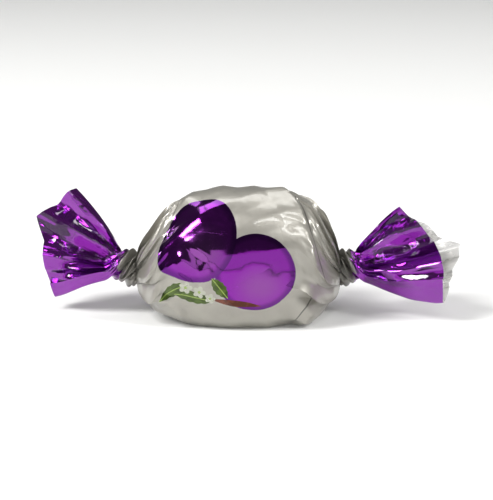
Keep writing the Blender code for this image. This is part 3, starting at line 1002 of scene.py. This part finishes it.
def film_place(nodes):
    """The place on the unrolled film in millimetres: x from the sweet's middle, y round from the back."""
    flat = nodes.add("ShaderNodeUVMap", uv_map=FILM_MAP)["UV"]
    size = MAP_SIZE / MM
    inputs = {"Vector": flat, "Location": (-size / 2, 0, 0), "Scale": (size, size, 1)}
    place = nodes.add("ShaderNodeMapping", inputs)[0]
    along, around, _ = nodes.add("ShaderNodeSeparateXYZ", {0: place})
    return place, along, around


def crease_bump(nodes, place, coarse_tilt, fine_tilt):
    """Bump of the creased film: coarse and fine facets, long in the direction along the film."""
    stretched = nodes.add("ShaderNodeMapping", {"Vector": place, "Scale": (0.5, 1.0, 1.0)})[0]
    height = 0.0
    for size, tilt in ((COARSE_FACET, coarse_tilt), (FINE_FACET, fine_tilt)):
        facets = nodes.group("facets", vector=stretched, facet_size=size, wander=FACET_WANDER)
        height = nodes.math("MULTIPLY_ADD", facets["Height"], tilt, height)
    return nodes.add("ShaderNodeBump", {"Height": height, "Distance": MM})["Normal"]


def new_material(name, groups=None):
    """A material, the maker of its nodes and its Principled shader."""
    material = bpy.data.materials.new(name)
    material.use_nodes = True
    tree = material.node_tree
    return material, Nodes(tree, groups), tree.nodes["Principled BSDF"]


def print_shape(nodes, kind, place, shape, **given):
    """The outputs of an oval or leaf group with a shape's centre, half sizes and turn."""
    centre, half, turn = shape
    return nodes.group(kind, vector=place, centre=centre, half_size=half, turn=turn, **given)


def purple_fields(nodes, along, around, past_neck):
    """Masks of the purple: the ends past the necks, and the ends with the back to the film's free edge.

    Measured round from the back, the field there lies between a level edge and a wavy one. The wavy
    edge falls to the level one at both ends, as a curve with the corners' power.
    """
    ends = nodes.group("wavy", value=past_neck, along=around, **ENDS_EDGE)["Mask"]
    half = FILM_GIRTH / MM / 2
    from_back = nodes.math("WRAP", around, half, -half)
    share = nodes.math("DIVIDE", nodes.math("ABSOLUTE", along), BACK_HALF_LENGTH)
    share = nodes.math("SUBTRACT", 1.0, nodes.math("POWER", share, BACK_CORNER))
    share = nodes.math("POWER", nodes.math("MAXIMUM", share, 0.0), 1 / BACK_CORNER)
    level = nodes.math("MULTIPLY_ADD", share, BACK_UPPER - BACK_LOWER, BACK_LOWER)
    above = nodes.group("wavy", value=from_back, along=along, level=level, **BACK_EDGE)["Mask"]
    below = nodes.ramp(from_back, BACK_LOWER, BACK_LOWER + 0.15)
    back = nodes.math("MULTIPLY", below, nodes.math("SUBTRACT", 1.0, above))
    return ends, nodes.math("MAXIMUM", ends, back)


def printed_ovals(nodes, settings, place, colour, bare):
    """Adds the ovals, each over the one before, with a paler tint painted in the lower part as a reflection
    and a darker edge.
    """
    for centre, half, turn in OVALS:
        oval = print_shape(nodes, "oval", place, (centre, half, turn))
        # A paler tint painted in the lower part of each oval as a reflection
        lower_centre = (centre[0] + PAINTED_REFLECTION_SHIFT[0], centre[1] + PAINTED_REFLECTION_SHIFT[1], 0.0)
        lower_half = (half[0] * PAINTED_REFLECTION_SHARES[0], half[1] * PAINTED_REFLECTION_SHARES[1], 1.0)
        lower = (lower_centre, lower_half, turn)
        painted_reflection = print_shape(nodes, "oval", place, lower, softness=PAINTED_REFLECTION_SOFTNESS)["Mask"]
        inner = nodes.ramp(oval["Centre Share"], 0.0, 0.10)
        skin = nodes.blend(inner, settings.oval_edge_colour, settings.purple_colour)
        painted_reflection = nodes.math("MULTIPLY", painted_reflection, PAINTED_REFLECTION_STRENGTH)
        skin = nodes.blend(painted_reflection, skin, settings.oval_reflection_colour)
        colour = nodes.blend(oval["Mask"], colour, skin)
        bare = nodes.math("MAXIMUM", bare, oval["Mask"])
    return colour, bare


def printed_plants(nodes, settings, place, colour, bare):
    """Adds the leaves and the stem in uneven ink, and the blossoms over them."""
    fleck = nodes.ramp(nodes.noise(place, 0.7, 3.0), 0.4, 0.6)
    green = nodes.blend(fleck, darker(settings.leaf_colour, 0.55), settings.leaf_colour)
    brown = nodes.blend(fleck, darker(settings.stem_colour, 0.5), settings.stem_colour)
    inks = []
    for shape in LEAVES:
        leaf = print_shape(nodes, "leaf", place, shape)
        inks.append((leaf["Mask"], nodes.blend(leaf["Vein"], green, settings.vein_colour)))
    inks.append((print_shape(nodes, "leaf", place, STEM, teeth=0.0)["Mask"], brown))
    for mask, ink in inks:
        colour = nodes.blend(mask, colour, ink)
        bare = nodes.math("MAXIMUM", bare, nodes.math("MULTIPLY", mask, INK_BARE))
    for centre, reach in BLOSSOMS:
        blossom = nodes.group("blossom", vector=place, centre=centre, reach=reach)
        petals = nodes.blend(blossom["Heart"], settings.blossom_colour, settings.vein_colour)
        colour = nodes.blend(blossom["Mask"], colour, petals)
    return colour, bare


def shaded_film(nodes, settings, place, past_neck, colour, bare):
    """Adds painted shade on the pearl ink where the film gathers at the necks, painted shadows in the gaps
    under the folds, and the ink's uneven tone.
    """
    # Painted shade: the pearl ink is darkened towards the necks, where the gathered creases crowd
    gathered = nodes.ramp(past_neck, *NECK_SHADE)
    colour = nodes.blend(bare, nodes.scaled(colour, gathered), colour)
    # Painted shadow: a thin dark line along the foot of each fold, drawn as a leaf without teeth
    for shape in FOLD_GAP_SHADOWS:
        gap = print_shape(nodes, "leaf", place, shape, teeth=0.0)["Mask"]
        colour = nodes.blend(nodes.math("MULTIPLY", gap, GAP_SHADOW_STRENGTH), colour, settings.gap_shadow_colour)
    cloud = nodes.ramp(nodes.noise(place, 0.22, 3.0), 0.3, 0.7, 0.93, 1.04)
    return nodes.blend(bare, nodes.scaled(colour, cloud), colour)


def printed_film(settings, groups):
    """Film with its print: pearl ink over the sweet, bare purple metal at the ends, back and ovals."""
    material, nodes, shader = new_material("printed_film", groups)
    place, along, around = film_place(nodes)
    neck = nodes.ramp(along, -1.0, 1.0, LEFT.neck / MM, RIGHT.neck / MM)
    past_neck = nodes.math("SUBTRACT", nodes.math("ABSOLUTE", along), neck)
    ends, bare = purple_fields(nodes, along, around, past_neck)
    colour = nodes.blend(bare, settings.pearl_colour, settings.purple_colour)
    colour, bare = printed_ovals(nodes, settings, place, colour, bare)
    colour, bare = printed_plants(nodes, settings, place, colour, bare)
    colour = shaded_film(nodes, settings, place, past_neck, colour, bare)

    dull = nodes.noise(place, 1.1, 4.0)
    pearl, purple = settings.pearl_roughness, settings.purple_roughness
    pearl_rough = nodes.ramp(dull, 0.3, 0.75, pearl - 0.05, pearl + 0.05)
    purple_rough = nodes.ramp(dull, 0.3, 0.75, purple - 0.02, purple + 0.04)
    metal = nodes.math("MULTIPLY_ADD", ends, -ENDS_DULL, 1.0)
    coat = nodes.math("MULTIPLY_ADD", bare, -COAT_LOST_BARE, COAT_OVER_INK)

    near_neck = nodes.ramp(past_neck, *FACETS_NEAR_NECK)
    to_rim = nodes.ramp(past_neck, *FINE_FACETS_TO_RIM)
    coarse_tilt = nodes.math("MULTIPLY_ADD", near_neck, settings.facet_tilt, SWEET_FACET_TILT)
    fine_tilt = nodes.math("MULTIPLY", nodes.math("MULTIPLY", near_neck, to_rim), settings.facet_tilt)
    nodes.fill(
        shader,
        {
            "Base Color": colour,
            "Metallic": nodes.between(bare, settings.pearl_metal, metal),
            "Roughness": nodes.between(bare, pearl_rough, purple_rough),
            "Coat Weight": nodes.math("MULTIPLY_ADD", ends, COAT_AT_ENDS, coat),
            "Coat Roughness": 0.06,
            "Normal": crease_bump(nodes, place, coarse_tilt, fine_tilt),
        },
    )
    return material


def silver_film(settings, groups):
    """Unprinted inner side of the film: bright silver with the same creases."""
    material, nodes, shader = new_material("silver_film", groups)
    place = film_place(nodes)[0]
    cloud = nodes.noise(place, 0.5, 3.0)
    silver, tilt = settings.silver_colour, settings.facet_tilt
    nodes.fill(
        shader,
        {
            "Base Color": nodes.blend(nodes.ramp(cloud, 0.3, 0.7), darker(silver, 0.82), silver),
            "Metallic": settings.silver_metal,
            "Roughness": nodes.ramp(cloud, 0.3, 0.7, 0.20, 0.30),
            "Normal": crease_bump(nodes, place, tilt / 2, tilt / 20),
        },
    )
    return material


def floor_material(settings):
    """Plain pale floor with a faint cloud in its tone."""
    material, nodes, shader = new_material("pale_floor")
    spot = nodes.add("ShaderNodeTexCoord")["Object"]
    cloud = nodes.ramp(nodes.noise(spot, 3.0, 2.0), 0.3, 0.7)
    pale = settings.floor_colour
    nodes.fill(
        shader,
        {
            "Base Color": nodes.blend(cloud, darker(pale, 0.985), pale),
            "Roughness": 0.75,
            "Emission Color": pale,
            "Emission Strength": settings.floor_glow,
        },
    )
    return material


def floor_object(settings):
    """A round floor: one face whose corners lie on a circle at height 0."""
    turn = np.arange(FLOOR_CORNERS) / FLOOR_CORNERS * FULL_TURN
    points = settings.floor_radius * np.stack([np.cos(turn), np.sin(turn), 0 * turn], -1)
    return new_object("floor", points, [list(range(FLOOR_CORNERS))])


def aim(thing, place, target):
    """Puts a light or a camera at a place and turns its -Z axis to the target."""
    thing.location = place
    thing.rotation_euler = (Vector(target) - Vector(place)).to_track_quat("-Z", "Y").to_euler()
    bpy.context.scene.collection.objects.link(thing)


def around_target(target, azimuth, elevation, distance):
    """A place seen from the target at an azimuth from the front, an elevation and a distance."""
    level = distance * math.cos(elevation)
    return (
        target[0] + level * math.sin(azimuth),
        target[1] - level * math.cos(azimuth),
        target[2] + distance * math.sin(elevation),
    )


def tint(name, description, default):
    """A colour property."""
    return bpy.props.FloatVectorProperty(
        name=name, description=description, default=(*default, 1.0), size=4, subtype="COLOR"
    )


def factor(name, description, default):
    """A property that is a share between 0 and 1."""
    return bpy.props.FloatProperty(
        name=name, description=description, default=default, min=0.0, max=1.0, subtype="FACTOR"
    )


def amount(name, description, default, **limits):
    """A property that is a number, a length or an angle."""
    return bpy.props.FloatProperty(name=name, description=description, default=default, **limits)


def row_count(name, description, default):
    """A property that is a number of rows."""
    return bpy.props.IntProperty(name=name, description=description, default=default, min=4)


class SweetFilmSettings(bpy.types.PropertyGroup):
    """Sizes and colours of the film."""

    film_thickness: amount(
        "Film Thickness", "Thickness of the film at its cut edges", 0.12 * MM, precision=6, unit="LENGTH"
    )
    column_spacing: amount(
        "Column Spacing",
        "Angle round the film between two columns of the surface",
        math.radians(1.6),
        min=math.radians(0.5),
        unit="ROTATION",
    )
    body_rows: row_count("Body Rows", "Rows of the surface from the sweet's middle to one neck", 50)
    neck_rows: row_count("Neck Rows", "Rows of the surface along one neck", 46)
    fan_rows: row_count("Fan Rows", "Rows of the surface from one neck to its rim", 62)
    sharp_angle_degrees: amount(
        "Sharp Angle", "Degrees between two faces from which their edge is sharp", 28.0, min=1.0, max=180.0
    )
    facet_tilt: amount(
        "Facet Tilt", "Largest slope of the small facets in the creased ends", 0.42, min=0.0, max=2.0
    )
    pearl_colour: tint("Pearl Colour", "Colour of the pearl ink over the sweet", (0.32, 0.306, 0.27))
    pearl_metal: factor("Pearl Metal", "Share of the metal that shows through the pearl ink", 0.4)
    pearl_roughness: factor("Pearl Roughness", "Roughness of the pearl ink", 0.34)
    purple_colour: tint("Purple Colour", "Tint of the metal at the ends, back and ovals", (0.21, 0.016, 0.31))
    purple_roughness: factor("Purple Roughness", "Roughness of the tinted metal", 0.10)
    oval_edge_colour: tint("Oval Edge Colour", "Darker tint along each oval's edge", (0.10, 0.008, 0.17))
    # Paler tint painted in each oval's lower part as a reflection
    oval_reflection_colour: tint("Oval Glow Colour", "Paler tint in each oval's lower part", (0.25, 0.14, 0.22))
    leaf_colour: tint("Leaf Colour", "Tint of the printed leaves", (0.07, 0.115, 0.018))
    vein_colour: tint("Vein Colour", "Tint of the leaves' veins and the blossoms' hearts", (0.24, 0.33, 0.08))
    blossom_colour: tint("Blossom Colour", "Colour of the printed blossoms", (0.40, 0.41, 0.34))
    # Colour of the painted shadow in the gaps under the folds
    gap_shadow_colour: tint("Gap Colour", "Colour of the dark gaps under the folds", (0.05, 0.047, 0.043))
    stem_colour: tint("Stem Colour", "Tint of the printed stem", (0.15, 0.045, 0.026))
    silver_metal: factor("Silver Metal", "Share of bare metal on the unprinted inner side", 0.35)
    silver_colour: tint("Silver Colour", "Colour of the film's unprinted inner side", (0.78, 0.77, 0.75))


class SweetStageSettings(bpy.types.PropertyGroup):
    """Floor, lights and camera."""

    floor_radius: amount("Floor Radius", "Radius of the round floor", 3.0, unit="LENGTH")
    floor_colour: tint("Floor Colour", "Colour of the pale floor", (0.70, 0.70, 0.687))
    floor_glow: amount("Floor Glow", "Light of its own, so that the floor stays pale", 0.12, min=0.0)
    room_brightness: amount("Room Brightness", "Brightness of the dim room round the stage", 0.09, min=0.0)
    camera_elevation: amount(
        "Camera Elevation", "Angle at which the camera looks down", math.radians(16), unit="ROTATION"
    )
    camera_distance: amount("Camera Distance", "Distance from camera to sweet", 0.265, unit="LENGTH")
    camera_lens: amount("Camera Lens", "Focal length of the camera in millimetres", 105.0, min=1.0)


class SWEET_OT_wrap_film(bpy.types.Operator):
    """Makes the film, its print and its silver inner side"""

    bl_idname = "sweet.wrap_film"
    bl_label = "Wrap Film"

    def execute(self, context):
        settings = context.scene.sweet_film
        groups = {
            "oval": oval_group(),
            "leaf": leaf_group(),
            "blossom": blossom_group(),
            "wavy": wavy_edge_group(),
            "facets": facet_group(),
        }
        film = film_object(settings)
        film.data.materials.append(printed_film(settings, groups))
        film.data.materials.append(silver_film(settings, groups))
        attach(film, "root")
        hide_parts(NODE)
        return {"FINISHED"}


class SWEET_OT_set_stage(bpy.types.Operator):
    """Makes the pale floor, the soft lights, the dim room and the camera"""

    bl_idname = "sweet.set_stage"
    bl_label = "Set Stage"

    def execute(self, context):
        settings = context.scene.sweet_stage
        floor = floor_object(settings)
        floor.data.materials.append(floor_material(settings))
        low, high = CAD_BOX
        middle = [(low[k] + high[k]) / 2 for k in range(3)]
        for name, azimuth, elevation, distance, width, height, power in LIGHTS:
            light = bpy.data.lights.new(name, "AREA")
            light.shape = "RECTANGLE"
            light.size, light.size_y = width, height
            light.energy = power
            place = around_target(middle, math.radians(azimuth), math.radians(elevation), distance)
            aim(bpy.data.objects.new(name, light), place, middle)
        world = bpy.data.worlds.new("dim_room")
        context.scene.world = world
        world.use_nodes = True
        sky = world.node_tree.nodes["Background"].inputs
        sky["Color"].default_value = (0.96, 0.98, 1.0, 1.0)
        sky["Strength"].default_value = settings.room_brightness
        lens = bpy.data.cameras.new("camera")
        lens.lens = settings.camera_lens
        camera = bpy.data.objects.new("camera", lens)
        place = around_target(middle, 0.0, settings.camera_elevation, settings.camera_distance)
        aim(camera, place, middle)
        context.scene.camera = camera
        context.scene.view_settings.view_transform = "Standard"
        return {"FINISHED"}


class SWEET_PT_tools(bpy.types.Panel):
    """Panel that lists the sweet's pieces and its stage"""

    bl_label = "Twist-Wrapped Sweet"
    bl_idname = "SWEET_PT_tools"
    bl_space_type = "VIEW_3D"
    bl_region_type = "UI"
    bl_category = "Sweet"

    def draw(self, context):
        for operator, settings in (
            (SWEET_OT_wrap_film, context.scene.sweet_film),
            (SWEET_OT_set_stage, context.scene.sweet_stage),
        ):
            box = self.layout.box()
            box.operator(operator.bl_idname)
            for name in settings.bl_rna.properties.keys():
                if name not in ("rna_type", "name"):
                    box.prop(settings, name)


CLASSES = (SweetFilmSettings, SweetStageSettings, SWEET_OT_wrap_film, SWEET_OT_set_stage, SWEET_PT_tools)


def register():
    """Registers the classes and hangs the two groups of settings on the scene."""
    for made in CLASSES:
        bpy.utils.register_class(made)
    bpy.types.Scene.sweet_film = bpy.props.PointerProperty(type=SweetFilmSettings)
    bpy.types.Scene.sweet_stage = bpy.props.PointerProperty(type=SweetStageSettings)


def unregister():
    """Takes the settings off the scene and unregisters the classes."""
    del bpy.types.Scene.sweet_stage
    del bpy.types.Scene.sweet_film
    for made in reversed(CLASSES):
        bpy.utils.unregister_class(made)


def main():
    """Makes the film and the stage."""
    register()
    bpy.ops.sweet.wrap_film()
    bpy.ops.sweet.set_stage()


if __name__ == "__main__":
    main()
